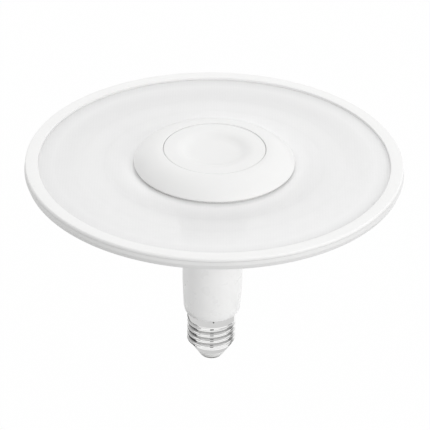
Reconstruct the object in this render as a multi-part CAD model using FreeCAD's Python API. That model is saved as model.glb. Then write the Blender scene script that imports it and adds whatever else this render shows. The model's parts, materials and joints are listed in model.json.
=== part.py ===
import FreeCAD, Part
import math
import os

# Edge-lit LED disc lamp on a screw cap, modelled cap down.
# Millimetres. The origin is the lowest point of the centre contact, on the lamp's axis.
# +Z runs up the axis, from the cap to the disc. Turned parts are profiles in the XZ plane,
# where x is the radius, and they are revolved about Z.

os.makedirs("parts", exist_ok=True)
V = FreeCAD.Vector

# Screw cap
cap_height = 28.2          # contact tip to the top of the shell
shell_wall = 0.35
skirt_r = 13.15            # plain band above the thread
skirt_height = 3.7
skirt_step = 0.1           # how far the rolled part stands in from the skirt
skirt_land = 0.5           # plain height between thread and skirt
skirt_overlap = 0.1        # height over which rolled part and skirt are joined
thread_pitch = 25.4 / 7
thread_crest_r = 13.1
thread_depth = 0.9
thread_low_z = 10.4        # the thread has its full depth from here up
thread_run_out = 1.7
thread_start_z = 8.7       # height of a crest on the +X side
shell_mouth_r = 9.1
shell_mouth_z = 5.0
crimp_r = 0.55
crimp_depth = 0.3
crimp_count = 3
crimp_drop = 0.9           # crimp centre below the top of the shell
contact_r = 5.7
contact_thickness = 0.9
contact_edge = 0.35
rivet_r = 1.5
rivet_top_z = 9.4
insulator_base_r = 6.3
insulator_top_z = 8.0

# Housing: neck, trumpet flare and hub in one moulding
wall = 1.8
spigot_r = 11.7            # passes inside the thread
spigot_bottom_z = 12.0
spigot_bore_r = 9.9
neck_rim_r = 13.4          # where the moulding meets the shell
rim_land = 0.8             # height of the spigot's step up to the skirt
neck_low_r = 15.3
neck_low_rise = 4.8        # heights above the shell: end of the rounded rim
neck_r = 16.1
neck_top_rise = 23.8       # end of the barrelled neck
flare_low_rise = 34.2      # start of the flare
flare_reach = 1.9          # the flare's quarter ellipse would end this far past the hub's edge
boss_r = 3.6
boss_length = 20.0
screw_angles = (90, 210, 330)
rail_thickness = 1.0
rail_depth = 1.0           # how far a rail covers the board's edge
rail_length = 42.0
rail_stop = 1.2            # height of the stop under the board's shoulder

# Light plate
plate_top_z = 118.0
plate_thickness = 3.0
plate_bottom_z = plate_top_z - plate_thickness
led_gap = 0.45             # LED faces to the plate's inner edge

# Rim: rear frame and front bezel
disc_r = 100.0             # ridge of the rear frame
plate_r = disc_r - 3.6
frame_bottom_z = plate_bottom_z - 2.3
frame_ridge_z = plate_bottom_z + 0.4
frame_top_z = plate_top_z - 0.7
frame_bottom_r = disc_r - 1.0
frame_top_r = disc_r - 0.5
frame_bore_r = disc_r - 7.8
bezel_r = disc_r - 0.4
bezel_bore_r = disc_r - 7.1
bezel_top_z = plate_top_z + 1.3
bezel_round = 0.8
bezel_skirt = 1.0          # thickness of the skirt inside the frame
bezel_skirt_length = 2.4
snap_drop = 1.6            # snap groove below the plate's top
parting_gap = 0.1
tape_thickness = 0.3
snap_count = 12
snap_bead_r = 0.35
snap_arc = 10.0            # degrees along the rim

# Hub cover and centre cap
cover_r = 42.4
hub_inset = 1.0            # from the cover's edge in to the housing's hub
cover_foot = 3.8           # width of the ring that presses on the gasket
cover_edge = 0.8           # height of the cover's edge
cover_wall = 1.5
cover_shoulder_inset = 6.2
cover_shoulder_height = 7.35    # above the plate
cover_ridge_height = 9.35  # above the plate
cover_ridge_width = 1.5
cover_ridge_round = 0.45
cover_floor_height = 5.3   # above the plate
gasket_thickness = 1.0
gasket_width = 2.6
gasket_inset = 1.2         # from the cover's edge in to the gasket
centre_cap_inset = 15.4    # from the cover's edge in to the centre cap
centre_cap_height = 9.2    # top ring above the plate
centre_cap_wall = 1.3
centre_cap_round = 0.5
dish_inset = 6.0           # from the cap's edge in to the dish
dish_slope_width = 9.4
dish_depth = 2.3
ring_gap = 0.2             # groove between the centre cap and the cover
leg_arc = 14.0             # degrees
leg_barb = 0.7
leg_foot = 1.0             # height of the barb

# Heat sink and LEDs
sink_inset = 9.4           # from the cover's edge in to the heat sink
sink_wall = 1.0
sink_web = 1.2
sink_top_above_plate = 2.0
sink_lead_hole_r = 7.5
lead_notch = 2.4
strip_thickness = 0.3
strip_height = 4.8
led_count = 48
led_width = 2.8
led_height = 3.0
led_thickness = 0.8
led_window = 2.2
led_window_depth = 0.15

# Screws
screw_inset = 4.8          # from the centre cap's edge in to the screws' circle
screw_shank_r = 1.45
screw_head_r = 2.8
screw_head_height = 1.9
screw_length = 23.5
screw_cross_width = 0.9
screw_cross_depth = 1.1

# Driver board and what is soldered to it
board_thickness = 1.2
board_y = -3.5             # middle plane of the board
board_half_width = 12.2
tail_half_width = 8.6
board_lift = 3.0           # lower end of the board above the spigot's foot
tail_length = 21.0
board_length = 71.0
board_unit = 1.0           # the pins stand on this grid or halfway between its lines
pin_r = 0.35
pin_tail = 1.2             # how far a pin stands out of the far face
lead_r = 0.7
supply_lead_x = 5.0        # supply leads to each side of the axis
led_lead_x = 4.0
can_r = 4.0                # both round capacitors
input_can_length = 12.5
input_can_rise = 2.0       # above the board's lower end
output_can_length = 11.0
bobbin_top_pins = 58.5     # the transformer's upper row of pins above the board's lower end
bobbin_past_pins = 1.0
output_pin_gap = 2.0       # from the bobbin to the output capacitor's pins
output_lead_length = 2.0   # from these pins to its can
output_pin_rise = bobbin_top_pins + bobbin_past_pins + output_pin_gap
chip_rise = 39.0

# Clearances
fit_gap = 0.05             # bonded and pressed fits
slide_gap = 0.15           # parts pushed together by hand
hole_gap = 0.3             # pins and screws in their holes

hub_r = cover_r - hub_inset
sink_r = cover_r - sink_inset
centre_cap_r = cover_r - centre_cap_inset
cover_shoulder_r = cover_r - cover_shoulder_inset
dish_r = centre_cap_r - dish_inset
dish_floor_r = dish_r - dish_slope_width
screw_circle_r = centre_cap_r - screw_inset
neck_low_z = cap_height + neck_low_rise
neck_top_z = cap_height + neck_top_rise
flare_low_z = cap_height + flare_low_rise
flare_width = hub_r + flare_reach - neck_r
tail_bottom_z = spigot_bottom_z + board_lift
board_shoulder_z = tail_bottom_z + tail_length
board_top_z = tail_bottom_z + board_length
board_front_y = board_y + board_thickness / 2
board_back_y = board_y - board_thickness / 2
cover_base_z = plate_top_z + gasket_thickness
cover_floor_z = plate_top_z + cover_floor_height
cover_ridge_z = plate_top_z + cover_ridge_height
well_r = centre_cap_r + ring_gap
neck_bore_r = neck_r - wall
flare_centre_r = neck_r + flare_width
flare_height = plate_bottom_z - wall - flare_low_z
thread_mid_r = thread_crest_r - thread_depth / 2
thread_root_r = thread_crest_r - thread_depth
skirt_low_z = cap_height - skirt_height
thread_end_z = skirt_low_z - skirt_land
thread_high_z = thread_end_z - thread_run_out
rolled_top_z = skirt_low_z + skirt_overlap


def inner_flare_z(radius):
    """Height of the flare's inner wall at a radius."""
    across = (flare_centre_r - radius) / (flare_width + wall)
    return flare_low_z + (flare_height + wall) * math.sqrt(1 - across * across)


def outer_flare_z(radius):
    """Height of the flare's outer wall at a radius."""
    across = (flare_centre_r - radius) / flare_width
    return flare_low_z + flare_height * math.sqrt(1 - across * across)


strip_bore_r = sink_r + fit_gap
led_back_r = strip_bore_r + strip_thickness + fit_gap / 5
led_face_r = led_back_r + led_thickness
plate_bore_r = led_face_r + led_gap
sink_base_z = inner_flare_z(sink_r) + hole_gap
sink_top_z = plate_top_z + sink_top_above_plate


# Outlines

def point(radius, height):
    return V(radius, 0, height)


def line(start, end):
    return Part.makeLine(point(*start), point(*end))


def arc(start, middle, end):
    return Part.Arc(point(*start), point(*middle), point(*end)).toShape()


def quarter_arc(start, corner, end):
    """Quarter circle that rounds off a square corner."""
    centre = (start[0] + end[0] - corner[0], start[1] + end[1] - corner[1])
    share = math.sqrt(0.5)
    middle = [centre[i] + (corner[i] - centre[i]) * share for i in (0, 1)]
    return arc(start, middle, end)


def ellipse_arc(centre, half_width, half_height, start, end):
    """Part of an ellipse between two points on it, turning clockwise or not as the points need."""
    angles = []
    for radius, height in (start, end):
        across = (radius - centre[0]) / half_width
        angles.append(math.atan2((height - centre[1]) / half_height, across))
    steps = [angles[0] + (angles[1] - angles[0]) * share / 6 for share in range(7)]
    places = []
    for angle in steps:
        radius = centre[0] + half_width * math.cos(angle)
        places.append(point(radius, centre[1] + half_height * math.sin(angle)))
    places[0] = point(*start)
    places[-1] = point(*end)
    curve = Part.BSplineCurve()
    curve.interpolate(places)
    return curve.toShape()


def rounded_outline(corners):
    """Face of a closed outline. Each corner is (radius, height, rounding)."""
    spots = [point(radius, height) for radius, height, rounding in corners]
    ends = []
    edges = []
    for number, (radius, height, rounding) in enumerate(corners):
        here = spots[number]
        if rounding == 0:
            ends.append((here, here))
            continue
        to_before = (spots[number - 1] - here).normalize()
        to_after = (spots[(number + 1) % len(spots)] - here).normalize()
        half = to_before.getAngle(to_after) / 2
        reach = rounding / math.tan(half)
        bisector = (to_before + to_after).normalize()
        middle = here + bisector * (rounding / math.sin(half) - rounding)
        ends.append((here + to_before * reach, here + to_after * reach))
        edges.append(Part.Arc(ends[-1][0], middle, ends[-1][1]).toShape())
    for number in range(len(spots)):
        start = ends[number - 1][1]
        end = ends[number][0]
        edges.append(Part.makeLine(start, end))
    return closed_face(edges)


def closed_face(edges):
    return Part.Face(Part.Wire(Part.__sortEdges__(edges)))


def turned(face):
    return face.revolve(V(0, 0, 0), V(0, 0, 1), 360)


def tube(outer_r, inner_r, low_z, high_z):
    body = Part.makeCylinder(outer_r, high_z - low_z, V(0, 0, low_z))
    return body.cut(Part.makeCylinder(inner_r, high_z - low_z, V(0, 0, low_z)))


def box(low, high):
    size = V(*high) - V(*low)
    return Part.makeBox(size.x, size.y, size.z, V(*low))


def around(shape, angle):
    copy = shape.copy()
    copy.rotate(V(0, 0, 0), V(0, 0, 1), angle)
    return copy


def on_circle(radius, angle, height):
    turn = math.radians(angle)
    return V(radius * math.cos(turn), radius * math.sin(turn), height)


# Screw cap: a thin shell rolled into a round-crested thread

def ramp(value, low, high):
    """Smooth step from 0 at low to 1 at high."""
    share = min(1, max(0, (value - low) / (high - low)))
    return share * share * (3 - 2 * share)


def thread_wave(from_crest):
    """Radius of the full thread at a distance along the axis from a crest: two equal tangent arcs."""
    quarter = thread_pitch / 4
    rise = thread_depth / 2
    arc_r = (quarter ** 2 + rise ** 2) / (2 * rise)
    away = abs(from_crest)
    if away <= quarter:
        return thread_crest_r - arc_r + math.sqrt(arc_r ** 2 - away ** 2)
    rest = 2 * quarter - away
    return thread_root_r + arc_r - math.sqrt(arc_r ** 2 - rest ** 2)


def shell_base_r(height):
    """Radius of the rolled part without its thread: shoulder cone, thread's mean and foot of the skirt."""
    up_cone = (height - shell_mouth_z) / (thread_low_z - shell_mouth_z)
    cone_r = shell_mouth_r + (thread_mid_r - shell_mouth_r) * min(1, up_cone)
    growth = skirt_r - skirt_step - thread_mid_r
    return cone_r + growth * ramp(height, thread_high_z, thread_end_z)


def shell_r(turn, height):
    """Outer radius of the shell at an angle in radians and a height."""
    crest_z = thread_start_z + thread_pitch * turn / (2 * math.pi)
    turns_off = (height - crest_z) / thread_pitch
    from_crest = (turns_off - round(turns_off)) * thread_pitch
    rise = ramp(height, thread_low_z - thread_run_out, thread_low_z)
    fall = 1 - ramp(height, thread_high_z, thread_end_z)
    return shell_base_r(height) + rise * fall * (thread_wave(from_crest) - thread_mid_r)


def shell_bore_r(turn, height):
    """Inner radius of the shell, one wall inside the outer surface."""
    step = 0.05
    slope = (shell_r(turn, height + step) - shell_r(turn, height - step)) / (2 * step)
    return shell_r(turn, height) - shell_wall * math.sqrt(1 + slope * slope)


def spline_poles(places, closed):
    """Control points of the cubic spline through evenly spaced places, found by relaxing them."""
    poles = list(places)
    free = range(len(places)) if closed else range(1, len(places) - 1)
    for sweep in range(30):
        for number in free:
            beside = poles[number - 1] + poles[(number + 1) % len(places)]
            poles[number] = (places[number] * 6 - beside) * 0.25
    return poles


def shell_sheet(radius_at):
    """Spline surface through a grid of points round the axis and up the rolled part."""
    columns = 20
    rows_per_pitch = 8
    spare = 4                  # rows past each end, where the spline isn't exact
    span = rolled_top_z - shell_mouth_z
    rows = round(span / thread_pitch * rows_per_pitch)
    rings = []
    for row in range(-spare, rows + spare + 1):
        height = shell_mouth_z + span * row / rows
        ring = []
        for column in range(columns):
            turn = 2 * math.pi * column / columns
            radius = radius_at(turn, height)
            ring.append(V(radius * math.cos(turn), radius * math.sin(turn), height))
        rings.append(spline_poles(ring, True))
    poles = [spline_poles(list(column), False) for column in zip(*rings)]
    surface = Part.BSplineSurface()
    surface.buildFromPolesMultsKnots(
        poles, [1] * (columns + 1), [1] * (len(rings) + 4),
        list(range(columns + 1)), list(range(-2, len(rings) + 2)), True, False, 3, 3)
    return surface.toShape(0, columns, spare, spare + rows)


def filled(sheet):
    """Solid inside a sheet, closed by a flat disc at each end."""
    faces = [sheet]
    for height in (shell_mouth_z, rolled_top_z):
        rim = [edge for edge in sheet.Edges
               if abs(edge.BoundBox.ZMin - height) < 0.01 and abs(edge.BoundBox.ZMax - height) < 0.01]
        faces.append(Part.Face(Part.Wire(rim)))
    skin = Part.Shell(faces)
    skin.sewShape()
    body = Part.Solid(Part.Shell(skin.Faces))
    if body.Volume < 0:
        body.reverse()
    return body


def crimp_cone(growth):
    """A punch mark's cone, pointing at the axis through the shell's skirt."""
    depth = crimp_depth + growth
    mouth_r = crimp_r + growth
    start = V(skirt_r + fit_gap, 0, cap_height - crimp_drop)
    return Part.makeCone(mouth_r, mouth_r / 2, depth + fit_gap, start, V(-1, 0, 0))


def crimps(growth):
    first = -90 + math.degrees(1.0 / skirt_r)
    angles = [first + 360 / crimp_count * number for number in range(crimp_count)]
    return [around(crimp_cone(growth), angle) for angle in angles]


def make_screw_shell():
    body = filled(shell_sheet(shell_r)).cut(filled(shell_sheet(shell_bore_r)))
    body = body.fuse(tube(skirt_r, skirt_r - shell_wall, skirt_low_z, cap_height))
    for bump, dent in zip(crimps(shell_wall), crimps(0)):
        body = body.fuse(bump.common(Part.makeCylinder(skirt_r - shell_wall / 2, cap_height)))
        body = body.cut(dent)
    return body


def make_centre_contact():
    """Pressed disc with a hollow-headed rivet through the insulator."""
    profile = rounded_outline([
        (0, 0, 0),
        (contact_r, 0, contact_edge),
        (contact_r, contact_thickness, contact_edge / 2),
        (rivet_r, contact_thickness, 0),
        (rivet_r, rivet_top_z, contact_edge),
        (0, rivet_top_z, 0),
    ])
    return turned(profile)


def make_base_insulator():
    """Moulded plug that fills the shell's mouth and carries the contact."""
    inside = [(shell_base_r(height) - 1.3 * shell_wall - fit_gap, height, 0)
              for height in (shell_mouth_z + fit_gap, insulator_top_z)]
    profile = rounded_outline([
        (rivet_r + fit_gap, contact_thickness, 0),
        (insulator_base_r, contact_thickness, 0.4),
        (shell_mouth_r - shell_wall / 2, shell_mouth_z - fit_gap, 0.3),
        (inside[0][0], shell_mouth_z - fit_gap, 0),
        inside[0],
        inside[1],
        (rivet_r + fit_gap, insulator_top_z, 0),
    ])
    return turned(profile)


# Housing

def housing_outside():
    """Solid of the housing's outer form, from the spigot's foot to the plate's seat."""
    skirt_bore_r = skirt_r - shell_wall - fit_gap
    neck_middle = (neck_low_r + (neck_r - neck_low_r) * 0.66, (neck_low_z + neck_top_z) / 2)
    edge_z = outer_flare_z(hub_r)
    edges = [
        line((0, spigot_bottom_z), (spigot_r, spigot_bottom_z)),
        line((spigot_r, spigot_bottom_z), (spigot_r, skirt_low_z)),
        line((spigot_r, skirt_low_z), (skirt_bore_r, skirt_low_z + rim_land)),
        line((skirt_bore_r, skirt_low_z + rim_land), (skirt_bore_r, cap_height)),
        line((skirt_bore_r, cap_height), (neck_rim_r, cap_height)),
        ellipse_arc((neck_rim_r, neck_low_z), neck_low_r - neck_rim_r, neck_low_z - cap_height,
                    (neck_rim_r, cap_height), (neck_low_r, neck_low_z)),
        arc((neck_low_r, neck_low_z), neck_middle, (neck_r, neck_top_z)),
        line((neck_r, neck_top_z), (neck_r, flare_low_z)),
        ellipse_arc((flare_centre_r, flare_low_z), -flare_width, flare_height,
                    (neck_r, flare_low_z), (hub_r, edge_z)),
        line((hub_r, edge_z), (hub_r, plate_bottom_z)),
        line((hub_r, plate_bottom_z), (0, plate_bottom_z)),
        line((0, plate_bottom_z), (0, spigot_bottom_z)),
    ]
    return turned(closed_face(edges))


def housing_inside():
    """Solid of the hollow in the housing."""
    seat_r = plate_bore_r + hole_gap
    throat_z = neck_low_z - 4
    bore_low_r = neck_low_r - wall
    edges = [
        line((0, spigot_bottom_z), (spigot_bore_r, spigot_bottom_z)),
        line((spigot_bore_r, spigot_bottom_z), (spigot_bore_r, throat_z)),
        line((spigot_bore_r, throat_z), (bore_low_r, neck_low_z)),
        line((bore_low_r, neck_low_z), (neck_bore_r, neck_top_z)),
        line((neck_bore_r, neck_top_z), (neck_bore_r, flare_low_z)),
        ellipse_arc((flare_centre_r, flare_low_z), -flare_width - wall, flare_height + wall,
                    (neck_bore_r, flare_low_z), (seat_r, inner_flare_z(seat_r))),
        line((seat_r, inner_flare_z(seat_r)), (seat_r, plate_bottom_z)),
        line((seat_r, plate_bottom_z), (0, plate_bottom_z)),
        line((0, plate_bottom_z), (0, spigot_bottom_z)),
    ]
    return turned(closed_face(edges))


def board_rails():
    """Two grooved rails with a stop under the board's shoulder, one on each side of the neck."""
    rails = []
    reach = board_half_width - rail_depth
    out = neck_r + 1
    groove = board_thickness / 2 + slide_gap
    low = board_shoulder_z - rail_stop
    for side in (-1, 1):
        xs = sorted((side * reach, side * out))
        for face in (-1, 1):
            ys = sorted((board_y + face * groove, board_y + face * (groove + rail_thickness)))
            rails.append(box((xs[0], ys[0], low), (xs[1], ys[1], low + rail_length)))
        rails.append(box((xs[0], board_y - groove, low), (xs[1], board_y + groove, board_shoulder_z)))
    return rails


def make_housing():
    outside = housing_outside()
    body = outside.cut(housing_inside())
    for rail in board_rails():
        body = body.fuse(rail.common(outside))
    for angle in screw_angles:
        foot = on_circle(screw_circle_r, angle, sink_base_z - boss_length)
        body = body.fuse(Part.makeCylinder(boss_r, boss_length, foot).common(outside))
    pilot_length = screw_length - (cover_floor_z - sink_base_z) + 2
    for angle in screw_angles:
        foot = on_circle(screw_circle_r, angle, sink_base_z - pilot_length)
        body = body.cut(Part.makeCylinder(screw_shank_r + fit_gap, pilot_length, foot))
    for cone in crimps(shell_wall + fit_gap):
        body = body.cut(cone)
    return body.removeSplitter()


# Light plate and rim

def make_light_guide_plate():
    profile = rounded_outline([
        (plate_bore_r, plate_bottom_z, 0),
        (plate_r, plate_bottom_z, 0),
        (plate_r, plate_top_z, 0),
        (plate_bore_r, plate_top_z, 0),
    ])
    return turned(profile)


def make_edge_reflector_band():
    bore_r = plate_r + fit_gap
    return tube(bore_r + tape_thickness, bore_r, plate_bottom_z + fit_gap, plate_top_z - fit_gap)


def bezel_skirt_r():
    """Outer radius of the bezel's skirt, which stands clear of the tape on the plate's edge."""
    return plate_r + 2 * fit_gap + tape_thickness + slide_gap + bezel_skirt


def snap_ring(bead_r):
    """Half-round ring on the line between skirt and frame."""
    return Part.makeTorus(bezel_skirt_r(), bead_r, V(0, 0, plate_top_z - snap_drop), V(0, 0, 1))


def make_rear_frame():
    wall_r = bezel_skirt_r() + fit_gap
    profile = rounded_outline([
        (frame_bore_r, frame_bottom_z, 0.5),
        (frame_bottom_r, frame_bottom_z, 0.7),
        (disc_r, frame_ridge_z, 0.8),
        (frame_top_r, frame_top_z, 0.3),
        (wall_r, frame_top_z, 0),
        (wall_r, plate_bottom_z, 0),
        (frame_bore_r, plate_bottom_z, 0.3),
    ])
    return turned(profile).cut(snap_ring(snap_bead_r + fit_gap))


def make_front_bezel():
    skirt_outer = bezel_skirt_r()
    skirt_inner = skirt_outer - bezel_skirt
    foot_z = plate_top_z - bezel_skirt_length
    profile = rounded_outline([
        (bezel_bore_r, plate_top_z, 0),
        (skirt_inner, plate_top_z, 0),
        (skirt_inner, foot_z, 0.2),
        (skirt_outer, foot_z, 0.2),
        (skirt_outer, frame_top_z + parting_gap, 0),
        (bezel_r, frame_top_z + parting_gap, 0.15),
        (bezel_r, bezel_top_z, bezel_round),
        (bezel_bore_r, bezel_top_z, 0.35),
    ])
    body = turned(profile)
    wedge = Part.makeCylinder(disc_r, bezel_top_z, V(0, 0, 0), V(0, 0, 1), snap_arc)
    bead = snap_ring(snap_bead_r).common(wedge)
    for number in range(snap_count):
        body = body.fuse(around(bead, 360 / snap_count * number))
    return body


# Hub cover, gasket and centre cap

def make_cover_gasket():
    outer_r = cover_r - gasket_inset
    return tube(outer_r, outer_r - gasket_width, plate_top_z, cover_base_z)


def cap_legs(leg_r, bore_r, low_z, high_z, arc_degrees):
    """Ring segments for the centre cap's legs, or for the slots that they pass."""
    ring = tube(leg_r, bore_r, low_z, high_z)
    wedge = Part.makeCylinder(cover_r, high_z, V(0, 0, 0), V(0, 0, 1), arc_degrees)
    return [around(ring.common(wedge), angle + 60 - arc_degrees / 2) for angle in screw_angles]


def make_hub_cover():
    shoulder_z = plate_top_z + cover_shoulder_height
    foot_r = cover_r - cover_foot
    foot_top_z = cover_base_z + 2
    edge_z = cover_base_z + cover_edge
    round_z = cover_base_z + cover_edge / 2
    round_r = cover_r - cover_edge / 2
    crest_r = well_r + cover_ridge_width - cover_ridge_round
    ridge_r = well_r + cover_ridge_round
    ridge_low_z = cover_ridge_z - cover_ridge_round
    floor_low_z = cover_floor_z - cover_wall
    under_r = well_r + cover_wall
    under_z = cover_ridge_z - 1.2 * cover_wall
    edges = [
        line((0, cover_floor_z), (well_r, cover_floor_z)),
        line((well_r, cover_floor_z), (well_r, ridge_low_z)),
        quarter_arc((well_r, ridge_low_z), (well_r, cover_ridge_z), (ridge_r, cover_ridge_z)),
        line((ridge_r, cover_ridge_z), (crest_r, cover_ridge_z)),
        arc((crest_r, cover_ridge_z), (cover_shoulder_r, shoulder_z), (cover_r, edge_z)),
        line((cover_r, edge_z), (cover_r, round_z)),
        quarter_arc((cover_r, round_z), (cover_r, cover_base_z), (round_r, cover_base_z)),
        line((round_r, cover_base_z), (foot_r, cover_base_z)),
        line((foot_r, cover_base_z), (foot_r, foot_top_z)),
        arc((foot_r, foot_top_z), (cover_shoulder_r - 1.0, shoulder_z - cover_wall), (under_r, under_z)),
        line((under_r, under_z), (under_r, floor_low_z)),
        line((under_r, floor_low_z), (0, floor_low_z)),
        line((0, floor_low_z), (0, cover_floor_z)),
    ]
    body = turned(closed_face(edges))
    web_top_z = sink_base_z + sink_web
    for angle in screw_angles:
        foot = on_circle(screw_circle_r, angle, web_top_z)
        body = body.fuse(Part.makeCylinder(boss_r, floor_low_z - web_top_z, foot))
    for angle in screw_angles:
        foot = on_circle(screw_circle_r, angle, web_top_z)
        body = body.cut(Part.makeCylinder(screw_shank_r + hole_gap, cover_floor_z - web_top_z, foot))
    slots = cap_legs(well_r, centre_cap_r - centre_cap_wall - hole_gap,
                     floor_low_z, cover_floor_z, leg_arc + 2)
    for slot in slots:
        body = body.cut(slot)
    return body


def make_centre_cap():
    """Snap-in cap with a flat ring round a shallow dish."""
    top_z = plate_top_z + centre_cap_height
    under_z = top_z - centre_cap_wall
    bore_r = centre_cap_r - centre_cap_wall
    floor_z = top_z - dish_depth
    slope_middle = ((dish_r + dish_floor_r) / 2, floor_z + dish_depth / 2)
    bend = (dish_r - dish_floor_r) / 4
    lift = dish_depth * 0.14
    edge_r = centre_cap_r - centre_cap_round
    edge_z = top_z - centre_cap_round
    edges = [
        line((0, floor_z), (dish_floor_r, floor_z)),
        arc((dish_floor_r, floor_z), (dish_floor_r + bend, floor_z + lift), slope_middle),
        arc(slope_middle, (dish_r - bend, top_z - lift), (dish_r, top_z)),
        line((dish_r, top_z), (edge_r, top_z)),
        quarter_arc((edge_r, top_z), (centre_cap_r, top_z), (centre_cap_r, edge_z)),
        line((centre_cap_r, edge_z), (centre_cap_r, cover_floor_z)),
        line((centre_cap_r, cover_floor_z), (bore_r, cover_floor_z)),
        line((bore_r, cover_floor_z), (bore_r, under_z)),
        line((bore_r, under_z), (dish_r, under_z)),
        line((dish_r, under_z), (dish_floor_r, floor_z - centre_cap_wall)),
        line((dish_floor_r, floor_z - centre_cap_wall), (0, floor_z - centre_cap_wall)),
        line((0, floor_z - centre_cap_wall), (0, floor_z)),
    ]
    body = turned(closed_face(edges))
    barb_top_z = cover_floor_z - cover_wall - slide_gap
    barb_low_z = barb_top_z - leg_foot
    for leg in cap_legs(centre_cap_r, bore_r, barb_low_z, cover_floor_z, leg_arc):
        body = body.fuse(leg)
    for barb in cap_legs(centre_cap_r + leg_barb, bore_r, barb_low_z, barb_top_z, leg_arc):
        body = body.fuse(barb)
    return body.removeSplitter()


# Heat sink, LED strip and LEDs

def led_lead_height():
    return plate_top_z + 0.2


def make_heat_sink():
    """Drawn aluminium cup: the LEDs sit round its rim, and its web is clamped on the bosses."""
    inner_r = sink_r - sink_wall
    profile = rounded_outline([
        (sink_lead_hole_r, sink_base_z, 0),
        (sink_r, sink_base_z, 1.0),
        (sink_r, sink_top_z, 0.3),
        (inner_r, sink_top_z, 0.3),
        (inner_r, sink_base_z + sink_web, 0.4),
        (sink_lead_hole_r, sink_base_z + sink_web, 0),
    ])
    body = turned(profile)
    for angle in screw_angles:
        foot = on_circle(screw_circle_r, angle, sink_base_z)
        body = body.cut(Part.makeCylinder(screw_shank_r + hole_gap, sink_web, foot))
    half = lead_notch / 2
    low_z = led_lead_height() - half
    for side in (-1, 1):
        xs = sorted((side * (inner_r - 2), side * (sink_r + 1)))
        body = body.cut(box((xs[0], board_y - half, low_z), (xs[1], board_y + half, sink_top_z)))
    return body


def strip_low_z():
    return plate_top_z - plate_thickness / 2 - strip_height / 2


def make_led_strip():
    return tube(strip_bore_r + strip_thickness, strip_bore_r, strip_low_z(), strip_low_z() + strip_height)


def make_led_chips():
    """One package per place round the strip, each with a sunk window facing the plate's edge."""
    low_z = plate_top_z - plate_thickness / 2 - led_height / 2
    chip = box((led_back_r, -led_width / 2, low_z), (led_face_r, led_width / 2, low_z + led_height))
    window_z = low_z + (led_height - led_window) / 2
    chip = chip.cut(box((led_face_r - led_window_depth, -led_window / 2, window_z),
                        (led_face_r, led_window / 2, window_z + led_window)))
    angles = [360 / led_count * (number + 0.5) for number in range(led_count)]
    return Part.makeCompound([around(chip, angle) for angle in angles])


def make_hub_screws():
    """Cross-headed screws that clamp cover, heat sink and housing together."""
    tip_length = screw_shank_r
    shank = Part.makeCylinder(screw_shank_r, screw_length - tip_length, V(0, 0, tip_length - screw_length))
    tip = Part.makeCone(0.3, screw_shank_r, tip_length, V(0, 0, -screw_length))
    crown = screw_head_r * 2.2
    head = Part.makeCylinder(screw_head_r, screw_head_height)
    head = head.common(Part.makeSphere(crown, V(0, 0, screw_head_height - crown)))
    screw = head.fuse([shank, tip])
    arm = screw_head_r * 0.62
    half = screw_cross_width / 2
    low = screw_head_height - screw_cross_depth
    for long_x, long_y in ((arm, half), (half, arm)):
        screw = screw.cut(box((-long_x, -long_y, low), (long_x, long_y, screw_head_height + 1)))
    placed = []
    for angle in screw_angles:
        copy = screw.removeSplitter()
        copy.translate(on_circle(screw_circle_r, angle, cover_floor_z))
        placed.append(copy)
    return Part.makeCompound(placed)


# Driver: every part's pins as places on the board's grid, across it and up from its lower end

pin_places = {
    "transformer": [(x, up) for x in (-5, 0, 5) for up in (45.5, bobbin_top_pins)],
    "input_capacitor": [(-1.75, 16.5), (1.75, 16.5)],
    "output_capacitor": [(-1.75, output_pin_rise), (1.75, output_pin_rise)],
    "filter_choke": [(5.0, 32.0), (5.0, 38.0)],
    "film_capacitor": [(-7.5, 32.0), (-7.5, 39.5)],
    "fuse_resistor": [(-5.5, 7.0), (5.5, 7.0)],
    "rectifier_bridge": [(x, up) for x in (-2.5, 2.5) for up in (24.0, 29.0)],
}
pins = {}
for name, places in pin_places.items():
    pins[name] = [(x * board_unit, tail_bottom_z + up * board_unit) for x, up in places]


def pin(place, body_y, far_y):
    """Round pin from inside a part's body, through the board, to its trimmed tail."""
    x, z = place
    low = min(body_y, far_y)
    return Part.makeCylinder(pin_r, abs(body_y - far_y), V(x, low, z), V(0, 1, 0))


def front_pins(name, into_body):
    return [pin(place, board_front_y + into_body, board_back_y - pin_tail) for place in pins[name]]


def back_pins(name, into_body):
    return [pin(place, board_back_y - into_body, board_front_y + pin_tail) for place in pins[name]]


def make_driver_board():
    low_y = board_back_y
    half = board_half_width
    board = box((-half, low_y, board_shoulder_z), (half, board_front_y, board_top_z))
    tail = box((-tail_half_width, low_y, tail_bottom_z), (tail_half_width, board_front_y, board_shoulder_z))
    board = board.fuse(tail)
    hole_r = pin_r + slide_gap
    for places in pins.values():
        for x, z in places:
            board = board.cut(Part.makeCylinder(hole_r, board_thickness, V(x, low_y, z), V(0, 1, 0)))
    return board.removeSplitter()


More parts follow.
